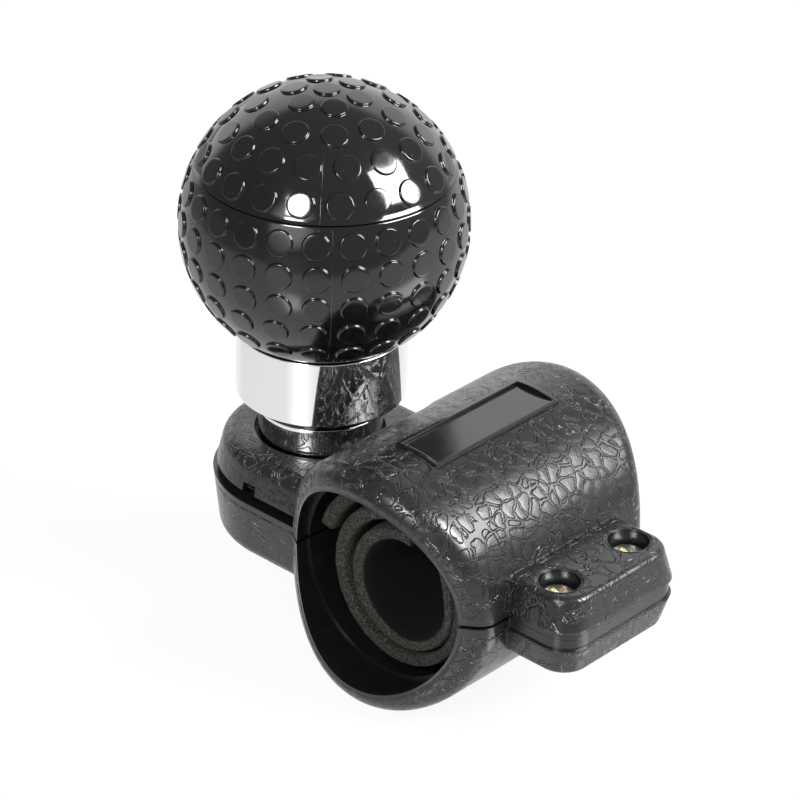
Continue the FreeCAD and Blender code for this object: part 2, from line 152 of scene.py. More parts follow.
def leatherGrainAbs(finish, bare):
    # ABS moulded against an etched leather grain: satin islands in narrow grooves that catch the light,
    # and plain where the mould was bare
    material, tree, surface, place = newMaterial("leatherGrainAbs")
    split = add(tree, "SeparateXYZ", links={0: place})
    x, y, z = (split.outputs[i] for i in range(3))
    # where there is grain: 0 in the bore, the spindle's recess, the screw pockets, the panel and along the parting
    grainAt = {}
    for part, flatten, offset in (("bore", (1, 0, 1), (-boreX, 0, 0)), ("recess", (1, 1, 0), (-spindleX, 0, 0))):
        away = add(tree, "VectorMath", {1: flatten, 2: offset}, {0: place}, operation="MULTIPLY_ADD")
        away = add(tree, "VectorMath", links={0: away}, operation="LENGTH").outputs["Value"]
        grainAt[part] = add(tree, "MapRange", {1: bare[part][0], 2: bare[part][1]}, {0: away}, **smooth)
    sideways = add(tree, "Math", links={0: y}, operation="ABSOLUTE")
    pocket = add(tree, "CombineXYZ", links={0: x, 1: sideways})
    pocket = add(tree, "VectorMath", {1: bare["pocketAt"]}, {0: pocket}, operation="DISTANCE").outputs["Value"]
    grainAt["pocket"] = add(tree, "MapRange", {1: bare["pocket"][0], 2: bare["pocket"][1]}, {0: pocket}, **smooth)
    outside = []
    for axis, middle, half in zip((x, y), bare["panelAt"], bare["panelHalf"]):
        off = add(tree, "Math", {1: middle}, {0: axis}, operation="SUBTRACT")
        off = add(tree, "Math", links={0: off}, operation="ABSOLUTE")
        outside.append(add(tree, "Math", {1: half}, {0: off}, operation="SUBTRACT"))
    panel = add(tree, "Math", links={0: outside[0], 1: outside[1]}, operation="MAXIMUM")
    lower = add(tree, "Math", {0: bare["panelLowest"]}, {1: z}, operation="SUBTRACT")
    panel = add(tree, "Math", links={0: panel, 1: lower}, operation="MAXIMUM")
    panel = add(tree, "MapRange", {1: bare["panel"][0], 2: bare["panel"][1]}, {0: panel}, **smooth)
    strip = add(tree, "Math", {1: bare["partingZ"]}, {0: z}, operation="SUBTRACT")
    strip = add(tree, "Math", links={0: strip}, operation="ABSOLUTE")
    grainAt["strip"] = add(tree, "MapRange", {1: bare["strip"][0], 2: bare["strip"][1]}, {0: strip}, **smooth)
    grained = panel
    for part in ("bore", "recess", "pocket", "strip"):
        grained = add(tree, "Math", links={0: grained, 1: grainAt[part]}, operation="MULTIPLY")
    # raised islands with rounded corners, pushed about so that no two are alike
    push = add(tree, "TexNoise", {"Scale": finish["bends"], "Detail": 2.5}, {"Vector": place}).outputs["Color"]
    push = add(tree, "VectorMath", {1: (0.5, 0.5, 0.5)}, {0: push}, operation="SUBTRACT")
    push = add(tree, "VectorMath", {"Scale": finish["bendMm"]}, {0: push}, operation="SCALE")
    pushed = add(tree, "VectorMath", links={0: place, 1: push}, operation="ADD")
    cells = {"Scale": 1 / finish["cellMm"], "Randomness": finish["cellRandomness"]}
    edge = add(tree, "TexVoronoi", cells, {"Vector": pushed}, feature="DISTANCE_TO_EDGE").outputs["Distance"]
    middle = add(tree, "TexVoronoi", cells, {"Vector": pushed}, feature="F1").outputs["Distance"]
    corner = add(tree, "Math", {0: finish["islandReach"]}, {1: middle}, operation="SUBTRACT")
    inside = add(tree, "Math", {2: finish["cornerBlend"]}, {0: edge, 1: corner}, operation="SMOOTH_MIN")
    wobble = add(tree, "TexNoise", {"Scale": finish["wobbles"], "Detail": 3.0}, {"Vector": place})
    wobble = add(tree, "MapRange", {1: 0.25, 2: 0.75, 3: -finish["wobble"], 4: finish["wobble"]}, {0: wobble})
    inside = add(tree, "Math", links={0: inside, 1: wobble}, operation="ADD")
    inside = add(tree, "Math", {1: finish["contour"]}, {0: inside}, operation="SUBTRACT")
    # heights: the groove, the island's step and dome, and grit
    moat = add(tree, "Math", links={0: inside}, operation="ABSOLUTE")
    plain = add(tree, "MapRange", {1: 0.0, 2: finish["moat"]}, {0: moat}, **smooth)  # 0 in a groove, 1 off it
    moat = add(tree, "Math", {1: finish["grooveShare"]}, {0: plain}, operation="MULTIPLY")
    low, high = finish["islandEdge"]
    island = add(tree, "MapRange", {1: low, 2: high}, {0: inside}, **smooth)
    low, high = finish["dome"]
    dome = add(tree, "MapRange", {1: low, 2: high, 3: 0.0, 4: finish["domeShare"]}, {0: inside})
    raised = add(tree, "Math", {1: finish["islandShare"]}, {0: island}, operation="MULTIPLY")
    grit = add(tree, "TexNoise", {"Scale": finish["grits"], "Detail": 3.0, "Roughness": 0.6}, {"Vector": place})
    coarse = add(tree, "MapRange", {3: finish["outerGrit"] * finish["grit"], 4: finish["grit"]}, {0: island})
    grit = add(tree, "Math", links={0: grit, 1: coarse}, operation="MULTIPLY")
    height = raised
    for layer in (dome, moat, grit):
        height = add(tree, "Math", links={0: height, 1: layer}, operation="ADD")
    height = add(tree, "Math", links={0: height, 1: grained}, operation="MULTIPLY")
    # outer edges look softened, and those in the bore stay as they are
    rounded = add(tree, "Bevel", {"Radius": finish["edgeRoundMm"] * mm}, samples=4)
    flat = add(tree, "NewGeometry").outputs["Normal"]
    rounded = add(tree, "Mix", links={0: grainAt["bore"], 4: flat, 5: rounded}, data_type="VECTOR").outputs[1]
    depth = {"Strength": 1.0, "Distance": finish["depthMm"] * mm}
    bump = add(tree, "Bump", depth, {"Height": height, "Normal": rounded})
    tree.links.new(bump.outputs[0], surface.inputs["Normal"])
    # colour in soft patches, lighter where hands have rubbed it
    worn = add(tree, "TexNoise", {"Scale": finish["wear"], "Detail": 5.0, "Roughness": 0.6}, {"Vector": place})
    low, high = finish["wearRange"]
    shade = add(tree, "MapRange", {1: low, 2: high, 3: finish["leastWear"], 4: 1.0}, {0: worn})
    colours = {6: hexColour(finish["darkColour"]), 7: hexColour(finish["colour"])}
    colour = add(tree, "Mix", colours, {0: shade}, data_type="RGBA")
    tree.links.new(colour.outputs[2], surface.inputs["Base Color"])
    # glossier in the grooves and on the panel
    rough = add(tree, "MapRange", {3: finish["grooveRoughness"], 4: finish["roughness"]}, {0: plain})
    rough = add(tree, "Mix", {2: finish["smoothRoughness"]}, {0: grained, 3: rough}, data_type="FLOAT")
    rough = add(tree, "Mix", {2: finish["panelRoughness"]}, {0: panel, 3: rough}, data_type="FLOAT")
    low, high = finish["wearRoughness"]
    vary = add(tree, "MapRange", {1: 0.2, 2: 0.8, 3: low, 4: high}, {0: worn})
    rough = add(tree, "Math", links={0: rough, 1: vary}, operation="ADD", use_clamp=True)
    tree.links.new(rough.outputs[0], surface.inputs["Roughness"])
    surface.inputs["IOR"].default_value = finish["ior"]
    return material


glossFinish = {
    "smudges": 0.16, "smudgeRange": (0.35, 0.75), "smudgeRoughness": 0.12,
    "specks": 1.1, "speckSize": (0.045, 0.085), "speckFade": 0.02, "speckShare": 0.35, "dustColour": "#b9b6ae",
    "ripples": 0.3, "rippleMm": 0.012, "ior": 1.57,
}


def glossAbs(name, colour, roughness, dust, finish):
    # polished ABS: near black, mirror-like under the lamps, with a faint moulding ripple, smudges and settled dust
    material, tree, surface, place = newMaterial(name)
    smudge = add(tree, "TexNoise", {"Scale": finish["smudges"], "Detail": 6.0, "Roughness": 0.65}, {"Vector": place})
    low, high = finish["smudgeRange"]
    dulled = roughness + finish["smudgeRoughness"]
    rough = add(tree, "MapRange", {1: low, 2: high, 3: roughness, 4: dulled}, {0: smudge})
    specks = add(tree, "TexVoronoi", {"Scale": finish["specks"], "Randomness": 1.0}, {"Vector": place}, feature="F1")
    chosen = add(tree, "SeparateColor", links={0: specks.outputs["Color"]})  # a few cells hold a speck
    chosen = add(tree, "MapRange", {1: 1 - dust, 2: 1 - dust + finish["speckFade"]}, {0: chosen})
    low, high = finish["speckSize"]
    size = add(tree, "MapRange", {1: low, 2: high, 3: 1.0, 4: 0.0}, {0: specks.outputs["Distance"]})
    speck = add(tree, "Math", links={0: chosen, 1: size}, operation="MULTIPLY")
    speck = add(tree, "Math", {1: finish["speckShare"]}, {0: speck}, operation="MULTIPLY")
    colours = {6: hexColour(colour), 7: hexColour(finish["dustColour"])}
    dusted = add(tree, "Mix", colours, {0: speck}, data_type="RGBA")
    tree.links.new(dusted.outputs[2], surface.inputs["Base Color"])
    rough = add(tree, "Math", links={0: rough, 1: speck}, operation="ADD", use_clamp=True)
    tree.links.new(rough.outputs[0], surface.inputs["Roughness"])
    ripple = add(tree, "TexNoise", {"Scale": finish["ripples"], "Detail": 3.0}, {"Vector": place})
    bump = add(tree, "Bump", {"Strength": 1.0, "Distance": finish["rippleMm"] * mm}, {"Height": ripple})
    tree.links.new(bump.outputs[0], surface.inputs["Normal"])
    surface.inputs["IOR"].default_value = finish["ior"]
    return material


chromeFinish = {
    "colour": "#e4e5e6", "stretch": (0.05, 0.05, 2.2), "scratches": 3.0, "scratchRange": (0.45, 0.8),
    "roughness": (0.03, 0.11), "scratchMm": 0.003,
}


def chromePlate(finish):
    # bright chromium plate over polished steel: a clear mirror with hair scratches round it
    material, tree, surface, place = newMaterial("chromePlate")
    surface.inputs["Metallic"].default_value = 1.0
    surface.inputs["Base Color"].default_value = hexColour(finish["colour"])
    stretched = add(tree, "VectorMath", {1: finish["stretch"]}, {0: place}, operation="MULTIPLY")
    hair = {"Scale": finish["scratches"], "Detail": 4.0, "Roughness": 0.7}
    scratch = add(tree, "TexNoise", hair, {"Vector": stretched})
    (low, high), (clear, dull) = finish["scratchRange"], finish["roughness"]
    rough = add(tree, "MapRange", {1: low, 2: high, 3: clear, 4: dull}, {0: scratch})
    tree.links.new(rough.outputs[0], surface.inputs["Roughness"])
    bump = add(tree, "Bump", {"Strength": 0.4, "Distance": finish["scratchMm"] * mm}, {"Height": scratch})
    tree.links.new(bump.outputs[0], surface.inputs["Normal"])
    return material


zincFinish = {
    "stops": ((0.35, "#cfd3d4"), (0.5, "#eceadf"), (0.65, "#e8d6a8")),  # silver, pale, straw
    "tints": 0.55, "grains": 5.0, "grainRange": (0.3, 0.7), "roughness": (0.2, 0.38), "grainMm": 0.01,
}


def zincPlate(finish):
    # passivated zinc on steel: dull silver that shifts to straw
    material, tree, surface, place = newMaterial("passivatedZincSteel")
    surface.inputs["Metallic"].default_value = 1.0
    tint = add(tree, "TexNoise", {"Scale": finish["tints"], "Detail": 3.0}, {"Vector": place})
    colour = add(tree, "ValToRGB", links={0: tint})
    (first, silver), (second, pale), (third, straw) = finish["stops"]
    stops = colour.color_ramp
    stops.elements[0].position, stops.elements[0].color = first, hexColour(silver)
    stops.elements[1].position, stops.elements[1].color = third, hexColour(straw)
    stops.elements.new(second).color = hexColour(pale)
    tree.links.new(colour.outputs[0], surface.inputs["Base Color"])
    grain = add(tree, "TexNoise", {"Scale": finish["grains"], "Detail": 3.0}, {"Vector": place})
    (low, high), (bright, dull) = finish["grainRange"], finish["roughness"]
    rough = add(tree, "MapRange", {1: low, 2: high, 3: bright, 4: dull}, {0: grain})
    tree.links.new(rough.outputs[0], surface.inputs["Roughness"])
    bump = add(tree, "Bump", {"Strength": 0.5, "Distance": finish["grainMm"] * mm}, {"Height": grain})
    tree.links.new(bump.outputs[0], surface.inputs["Normal"])
    return material


spongeFinish = {
    "pores": 2.6, "grains": 1.8, "poreStops": ((0.08, "#0e0e0d"), (0.36, "#302f2c")), "poreMm": 0.12,
    "flecks": 3.6, "fleckRange": (0.61, 0.68), "fleckShare": 0.6, "fleckColour": "#6b6257",
    # the radius span inside the hole, and the painted shade colour that darkens it there
    "hole": (9.1, 9.5), "paintedHoleShade": "#080808", "roughness": 0.95, "specular": 0.25,
}


def spongeRubber(finish):
    # closed-cell sponge rubber, sliced: dull charcoal, with open pores about a third of a millimetre across
    material, tree, surface, place = newMaterial("spongeRubber")
    cells = {"Scale": finish["pores"], "Randomness": 1.0}
    pores = add(tree, "TexVoronoi", cells, {"Vector": place}, feature="F1").outputs["Distance"]
    grains = add(tree, "TexNoise", {"Scale": finish["grains"], "Detail": 5.0, "Roughness": 0.7}, {"Vector": place})
    mixed = add(tree, "Math", links={0: pores, 1: grains}, operation="MULTIPLY")
    pale = add(tree, "TexNoise", {"Scale": finish["flecks"], "Detail": 2.0}, {"Vector": place})
    low, high = finish["fleckRange"]
    pale = add(tree, "MapRange", {1: low, 2: high, 3: 0.0, 4: finish["fleckShare"]}, {0: pale}, **smooth)
    # darker towards each pore's middle, where the bump sinks: partly painted shade in the pits, partly tone that
    # varies at random
    colour = add(tree, "ValToRGB", links={0: mixed})
    for stop, (position, code) in zip(colour.color_ramp.elements, finish["poreStops"]):
        stop.position, stop.color = position, hexColour(code)
    # inside the hole through the roll the colour is darkened: painted shade, as no lamp reaches it
    radius = add(tree, "VectorMath", {1: (1, 0, 1)}, {0: place}, operation="MULTIPLY")
    radius = add(tree, "VectorMath", links={0: radius}, operation="LENGTH").outputs["Value"]
    low, high = finish["hole"]
    inner = add(tree, "MapRange", {1: low, 2: high}, {0: radius}, **smooth)
    flecked = add(tree, "Mix", {7: hexColour(finish["fleckColour"])}, {0: pale, 6: colour}, data_type="RGBA")
    holeShading = {0: inner, 7: flecked.outputs[2]}
    dark = add(tree, "Mix", {6: hexColour(finish["paintedHoleShade"])}, holeShading, data_type="RGBA")
    tree.links.new(dark.outputs[2], surface.inputs["Base Color"])
    surface.inputs["Roughness"].default_value = finish["roughness"]
    surface.inputs["Specular IOR Level"].default_value = finish["specular"]
    bump = add(tree, "Bump", {"Strength": 1.0, "Distance": finish["poreMm"] * mm}, {"Height": mixed})
    tree.links.new(bump.outputs[0], surface.inputs["Normal"])
    return material


nylonFinish = {"colours": ("#d9d4c6", "#e6e2d8"), "clouds": 0.4, "roughness": 0.42}


def naturalNylon(finish):
    # unfilled nylon, turned: milky and waxy
    material, tree, surface, place = newMaterial("naturalNylon")
    cloud = add(tree, "TexNoise", {"Scale": finish["clouds"], "Detail": 3.0}, {"Vector": place})
    dark, pale = finish["colours"]
    colour = add(tree, "Mix", {6: hexColour(dark), 7: hexColour(pale)}, {0: cloud}, data_type="RGBA")
    tree.links.new(colour.outputs[2], surface.inputs["Base Color"])
    surface.inputs["Roughness"].default_value = finish["roughness"]
    return material


clampPlastic = leatherGrainAbs(clampFinish, bareMould)
ballPlastic = glossAbs("polishedBlackAbs", "#070708", 0.06, 0.12, glossFinish)
panelPlastic = glossAbs("polishedPanelAbs", "#141517", 0.12, 0.05, glossFinish)
chrome = chromePlate(chromeFinish)
zinc = zincPlate(zincFinish)
foamRubber = spongeRubber(spongeFinish)
nylon = naturalNylon(nylonFinish)
finishes = {
    "clamp_upper_half": clampPlastic, "clamp_lower_half": clampPlastic, "pivot_neck": chrome,
    "chrome_collar": chrome, "lower_bush": nylon, "upper_bush": nylon, "foam_liner": foamRubber,
    "knob_cap": ballPlastic, "knob_lower_shell": ballPlastic,
}
for name, node in nodes.items():
    node.data.materials.clear()
    node.data.materials.append(finishes.get(name, zinc))  # screws, nuts, washers, bolt and sleeve are zinc plated
print("materials:", len(bpy.data.materials))


# The neck: a plated post that widens a little towards its rounded shoulder, under the collar

neck = {
    "bore": 4.2, "foot": 4.8, "deck": 7.0, "footRadius": 10.95, "shoulderRadius": 11.4, "shoulder": 12.5,
    "round": 0.12, "seatRadius": 9.4, "seat": 16.6, "flareSteps": 8, "roundSteps": 6, "steps": 128,
}


def neckOutline():
    soft, radius, top = neck["round"], neck["shoulderRadius"], neck["shoulder"]
    flare, rise = radius - neck["footRadius"], top - soft - neck["deck"]
    outline = [(neck["bore"], neck["foot"]), (neck["footRadius"], neck["foot"])]
    for i in range(neck["flareSteps"] + 1):  # straight at its foot, and flared a little towards the top
        share = i / neck["flareSteps"]
        outline.append((neck["footRadius"] + flare * share ** 2, neck["deck"] + rise * share))
    for k in range(1, neck["roundSteps"] + 1):
        t = math.radians(90 / neck["roundSteps"] * k)
        outline.append((radius - soft * (1 - math.cos(t)), top - soft * (1 - math.sin(t))))
    outline += [(neck["seatRadius"], top), (neck["seatRadius"], neck["seat"]), (neck["bore"], neck["seat"])]
    return outline + [(neck["bore"], neck["foot"])]


meshPiece("platedNeck", turned(neckOutline(), neck["steps"]), chrome, "clamp", ["pivot_neck"], 32)
print("neck: plated post")


# The ball: two mouldings turned about the spindle, with raised buttons and mould lines

ball = {
    "radius": 24.7, "height": 47.5, "wall": 2.6, "steps": 180,
    "seam": 10.3, "seamRound": 0.4, "seamSteps": 5, "seamLip": 0.2,
    "spigotRadius": 19.9, "spigotLength": 3.6, "spigotWall": 1.8, "opening": 20.1, "openingDepth": 4.0,
    "collarBore": 13.35, "spigotEnd": 15.4, "flangeRoom": 9.8, "flangeSeat": 19.15,
    "hubBore": 8.0, "hubRadius": 10.6, "hubTop": 41.9, "hubFloor": 31.0,
    "capSteps": (36, 12), "shellSteps": (48, 14),  # up the outside and the inside
}
buttons = {
    "radius": 2.36, "height": 0.4, "flatten": 0.55, "sides": 44,
    # across as shares of the radius, and up in mm: the fillet at the foot, the soft edge's arc and the top
    "foot": [(1.06, -0.20), (1.045, -0.02), (1.015, 0.01), (0.998, 0.06), (0.988, 0.14)],
    "edgeMiddle": (0.888, 0.17), "edgeReach": (0.1, 0.23), "edgeSteps": 6, "top": [(0.7, 0.4), (0.4, 0.4)],
    "drawnHeight": 0.4, "flattenFrom": 0.3, "flattenAt": 0.95,
    # latitude, how many, and the first one's longitude, in degrees
    "cap": [(90.0, 1, 0.0), (76.5, 6, 326.0), (61.5, 11, 320.0), (47.3, 16, 303.0), (32.6, 20, 320.0)],
    "shell": [(16.8, 24, 324.8), (3.6, 24, 325.4), (-9.8, 24, 325.4), (-23.4, 22, 325.4), (-38.5, 20, 327.0)],
}
mouldLines = {
    "width": 0.26, "height": 0.025, "root": -0.03, "crest": 0.25, "steps": 60,
    "cap": (-48.8, 131.2), "capSpan": (25.5, 72.0), "shell": (-43.4, 136.6), "shellSpan": (23.5, -57.0),
}


def ballPoint(point):
    return (point.x + spindleX) * mm, point.y * mm, (point.z + ball["height"]) * mm


def onSphere(radius, fromAngle, toAngle, count):
    steps = [math.radians(fromAngle + (toAngle - fromAngle) * i / count) for i in range(count + 1)]
    return [(radius * math.cos(a), ball["height"] + radius * math.sin(a)) for a in steps]


def ballCap():
    seam, soft, count = ball["height"] + ball["seam"], ball["seamRound"], ball["seamSteps"]
    outerSteps, innerSteps = ball["capSteps"]
    lift = math.degrees(math.asin((ball["seam"] + soft) / ball["radius"]))
    outer = onSphere(ball["radius"], 90, lift, outerSteps)
    rim = math.sqrt(ball["radius"] ** 2 - ball["seam"] ** 2)
    widest = outer[-1][0] + ball["seamLip"]
    foot = []
    for t in (math.radians(90 * k / count) for k in range(1, count + 1)):
        foot.append((min(rim - soft * (1 - math.cos(t)), widest), seam + soft * (1 - math.sin(t))))
    inner = ball["radius"] - ball["wall"]
    lowest = seam - ball["spigotLength"]
    within = ball["spigotRadius"] - ball["spigotWall"]
    rise = math.degrees(math.acos(within / inner))
    inside = [(ball["spigotRadius"], seam), (ball["spigotRadius"], lowest), (within, lowest)]
    return turned(outer + foot + inside + onSphere(inner, rise, 90, innerSteps), ball["steps"])


def ballShell():
    seam, soft = ball["height"] + ball["seam"], ball["seamRound"]
    outerSteps, innerSteps = ball["shellSteps"]
    drop = math.degrees(math.asin((ball["seam"] - soft) / ball["radius"]))
    lowest = -math.degrees(math.acos(ball["collarBore"] / ball["radius"]))
    outer = onSphere(ball["radius"], drop, lowest, outerSteps)
    rim = outer[0][0]
    top = [(ball["opening"], seam), (rim - soft, seam),
           (rim - soft * 0.6, seam - soft * 0.08), (rim - soft * 0.25, seam - soft * 0.35)]  # the seam's soft edge
    hub = [(ball["collarBore"], ball["spigotEnd"]), (ball["flangeRoom"], ball["spigotEnd"]),
           (ball["flangeRoom"], ball["flangeSeat"]), (ball["hubBore"], ball["flangeSeat"]),
           (ball["hubBore"], ball["hubTop"]), (ball["hubRadius"], ball["hubTop"]),
           (ball["hubRadius"], ball["hubFloor"])]
    inner = ball["radius"] - ball["wall"]
    floor = ball["hubFloor"] - ball["height"]
    down = -math.degrees(math.asin(-floor / inner))
    mouth = [(ball["opening"], seam - ball["openingDepth"]), (ball["opening"], seam)]
    return turned(top + outer + hub + onSphere(inner, down, 0, innerSteps) + mouth, ball["steps"])


def buttonOutline():
    (middle, low), (across, up), count = buttons["edgeMiddle"], buttons["edgeReach"], buttons["edgeSteps"]
    edge = [(middle + across * math.cos(t), low + up * math.sin(t))
            for t in (math.radians(90 / count * step) for step in range(count + 1))]
    return buttons["foot"] + edge + buttons["top"]


def buttonField(rows):
    # each button is a low disc whose top is flatter than the ball, with a soft edge and a small fillet at its foot
    bm = bmesh.new()
    radius, height, sphere = buttons["radius"], buttons["height"], ball["radius"]
    edgeDrop = sphere - math.sqrt(sphere ** 2 - (radius * buttons["flattenAt"]) ** 2)
    for latitude, count, first in rows:
        tilt = Matrix.Rotation(math.radians(90 - latitude), 4, "Y")
        for i in range(count):
            turn = Matrix.Rotation(math.radians(first + 360 * i / count), 4, "Z") @ tilt
            rings = []
            for share, lift in buttonOutline():
                reach = radius * share
                drop = sphere - math.sqrt(sphere ** 2 - reach ** 2)
                up = sphere - drop + lift * height / buttons["drawnHeight"]
                if lift > buttons["flattenFrom"]:
                    up += buttons["flatten"] * (drop - edgeDrop)
                ring = []
                for k in range(buttons["sides"]):
                    a = 2 * math.pi * k / buttons["sides"]
                    point = turn @ Vector((reach * math.cos(a), reach * math.sin(a), up))
                    ring.append(bm.verts.new(ballPoint(point)))
                rings.append(ring)
            skin(bm, rings)
            bm.faces.new(rings[-1])
    bmesh.ops.recalc_face_normals(bm, faces=bm.faces)
    return bm


def mouldLine(longitudes, span):
    # the thin flash left where the mould's halves met
    bm = bmesh.new()
    root, crest, height = mouldLines["root"], mouldLines["crest"], mouldLines["height"]
    for longitude in longitudes:
        turn = Matrix.Rotation(math.radians(longitude), 4, "Z")
        rows = []
        for i in range(mouldLines["steps"] + 1):
            a = math.radians(span[0] + (span[1] - span[0]) * i / mouldLines["steps"])
            row = []
            for side, lift in ((-1, root), (-crest, height), (crest, height), (1, root)):
                reach = ball["radius"] + lift
                point = turn @ Vector((reach * math.cos(a), side * mouldLines["width"] / 2, reach * math.sin(a)))
                row.append(bm.verts.new(ballPoint(point)))
            rows.append(row)
        skin(bm, rows, closed=False)
    bmesh.ops.recalc_face_normals(bm, faces=bm.faces)
    return bm


meshPiece("ballCap", ballCap(), ballPlastic, "knob", ["knob_cap"], 32)
meshPiece("ballShell", ballShell(), ballPlastic, "knob", ["knob_lower_shell"], 32)
meshPiece("capButtons", buttonField(buttons["cap"]), ballPlastic, "knob", (), 60)
meshPiece("shellButtons", buttonField(buttons["shell"]), ballPlastic, "knob", (), 60)
capLine = mouldLine(mouldLines["cap"], mouldLines["capSpan"])
meshPiece("capMouldLine", capLine, ballPlastic, "knob")
shellLine = mouldLine(mouldLines["shell"], mouldLines["shellSpan"])
meshPiece("shellMouldLine", shellLine, ballPlastic, "knob")
print("ball: 2 mouldings and", sum(row[1] for row in buttons["cap"] + buttons["shell"]), "buttons")


# The panel: a flat polished face on the recess's floor

panel = {
    "across": 1.1, "along": 0.5, "height": 22.14, "halfWidth": 4.0, "halfLength": 14.66, "depth": 0.45,
    "edge": 0.08, "edgeShare": 0.3,
}


def panelFace():
    # a shallow slab laid level, with a softened top edge; its underside is sunk in the barrel's curved floor,
    # apart from a narrow strip along one side that stands just clear of it
    bm = bmesh.new()
    top, edge = panel["height"], panel["edge"]
    profile = ((0.0, top - panel["depth"]), (0.0, top - edge),
               (edge * panel["edgeShare"], top - edge * panel["edgeShare"]), (edge, top))
    rings = []
    for inset, z in profile:
        wide, long = panel["halfWidth"] - inset, panel["halfLength"] - inset
        ring = []
        for x, y in ((-wide, -long), (wide, -long), (wide, long), (-wide, long)):
            ring.append(bm.verts.new(((boreX + panel["across"] + x) * mm, (panel["along"] + y) * mm, z * mm)))
        rings.append(ring)
    skin(bm, rings)
    bm.faces.new(rings[0])
    bm.faces.new(rings[-1])
    bmesh.ops.recalc_face_normals(bm, faces=bm.faces)
    return bm


meshPiece("panelFace", panelFace(), panelPlastic, "clamp", (), 20)
print("panel: flat face")


# The foam strip, rolled up in the bore

foam = {
    "boreRadius": 18.0, "wallGap": 0.15, "leastShare": 0.7,  # the barrel's wall, and how thin it presses the strip
    "holeRadius": 8.9, "thickness": 2.55, "thicknessSwing": 0.45, "pitch": 3.2, "pitchSwing": 1.0,
    "halfLength": 21.0, "edgeRound": 0.35, "edgeInset": 0.06,
    "start": 83.0, "end": 885.0, "blendFrom": 5.0, "blendTo": 80.0,  # degrees round the roll
    "steps": 330, "rows": 26, "layers": 6,
    "ragged": 0.10, "raggedScale": 0.9, "raggedTurn": 0.03, "seed": 5,  # how rough the skin is, and which skin
    "lean": 0.45, "leanTurn": 0.012, "leanDepth": 0.4, "leanSeed": 3.1, "overhang": 0.3,  # how the ends wander
}


def foamPoint(angle, depth):
    # a point of the roll's section, at a share of the strip's thickness
    turn, within = divmod(angle - foam["blendFrom"], 360.0)
    climb = min(within / (foam["blendTo"] - foam["blendFrom"]), 1.0)
    layer = max(turn - 1 + climb * climb * (3 - 2 * climb), 0)
    a = math.radians(angle)
    pitch = foam["pitch"] - foam["pitchSwing"] * math.cos(a)
    thickness = foam["thickness"] - foam["thicknessSwing"] * math.cos(a)
    # where the barrel presses on it, seen from the hole's middle
    wall = boreX * math.cos(a) + math.sqrt(foam["boreRadius"] ** 2 - (boreX * math.sin(a)) ** 2) - foam["wallGap"]
    base = min(foam["holeRadius"] + layer * pitch, wall - foam["leastShare"] * thickness)
    reach = base + depth * min(thickness, wall - base)
    return Vector((reach * math.cos(a), 0, reach * math.sin(a)))


def foamSection():
    # a loop round the strip's section: share of the thickness, and place along the bore
    rows, layers, half, soft = foam["rows"], foam["layers"], foam["halfLength"], foam["edgeRound"]
    loop = [(0.0, -half + soft + (2 * half - 2 * soft) * i / rows) for i in range(rows + 1)]
    loop += [(k / layers, half) for k in range(1, layers)]
    loop += [(1.0, half - soft - (2 * half - 2 * soft) * i / rows) for i in range(rows + 1)]
    return loop + [(1 - k / layers, -half) for k in range(1, layers)]


def foamRoll():
    # the section swept along the roll; the cut edges are soft and a little ragged
    noise.seed_set(foam["seed"])  # unseeded, noise_vector goes by the clock and each run has another skin
    bm = bmesh.new()
    loop, half = foamSection(), foam["halfLength"]
    furthest = half + foam["overhang"]
    sections = []
    for s in range(foam["steps"] + 1):
        angle = foam["start"] + (foam["end"] - foam["start"]) * s / foam["steps"]
        section = []
        for depth, y in loop:
            if abs(y) > half - foam["edgeRound"] - 0.01 and depth in (0.0, 1.0):  # a corner of the section
                point = foamPoint(angle, depth + (foam["edgeInset"] if depth == 0.0 else -foam["edgeInset"]))
            else:
                point = foamPoint(angle, depth)
            slow = noise.noise(Vector((angle * foam["leanTurn"], foam["leanSeed"], depth * foam["leanDepth"])))
            rough = foam["raggedScale"]
            fine = noise.noise_vector(Vector((point.x * rough + angle * foam["raggedTurn"], y * rough, point.z * rough)))
            shift = slow * foam["lean"] * (y / half)
            point = point + fine * foam["ragged"]
            y = max(-furthest, min(furthest, y + shift + fine.y * foam["ragged"]))
            section.append(bm.verts.new((point.x * mm, y * mm, point.z * mm)))
        sections.append(section)
    skin(bm, sections)
    bm.faces.new(sections[0])
    bm.faces.new(sections[-1])
    bmesh.ops.recalc_face_normals(bm, faces=bm.faces)
    return bm


foamPiece = meshPiece("foamRoll", foamRoll(), foamRubber, "clamp", ["foam_liner"], 50)
print("foam roll:", len(foamPiece.data.polygons), "faces")


# The studio: white paper on a table in a dim room, two softboxes, and the camera at the picture's angle

camera = {
    "azimuth": 41.65, "elevation": 29.85, "roll": 1.8, "target": (-20.68, -0.11, 19.85), "distance": 668.0,
    "lens": 175.5, "sensor": 36.0, "clip": (0.01, 20.0),  # clip in metres
}
cameraTurn = math.radians(camera["azimuth"])
studio = {
    "front": (math.sin(cameraTurn), -math.cos(cameraTurn), 0.0),
    "side": (math.cos(cameraTurn), math.sin(cameraTurn), 0.0),
    "ambient": 0.5, "room": 0.40, "wallSwing": 0.12,
    "ceiling": 0.42, "ceilingUp": (0.62, 0.9),
    "backdrop": 1.55, "backdropAway": (-0.55, -0.72), "backdropUp": (0.62, 0.78),
    "glow": 2.6, "glowAt": (-26, 20), "glowEdge": (0.93, 0.995),
}
paper = {
    "height": -22.7, "size": 4000.0, "colour": "#ececec", "whiteness": 0.93, "coat": 0.1, "coatRoughness": 0.16,
    # what the gloss sees of it: how bright, how much brighter to the right, and how dim in front
    "bright": 0.95, "brighter": 0.4, "brightSpan": (-250.0, 350.0), "shade": 0.84, "shadeSpan": (-150.0, 0.0),
    "frontSpan": (185.0, 245.0), "leftSpan": (-400.0, -280.0), "rightSpan": (600.0, 1000.0),
}
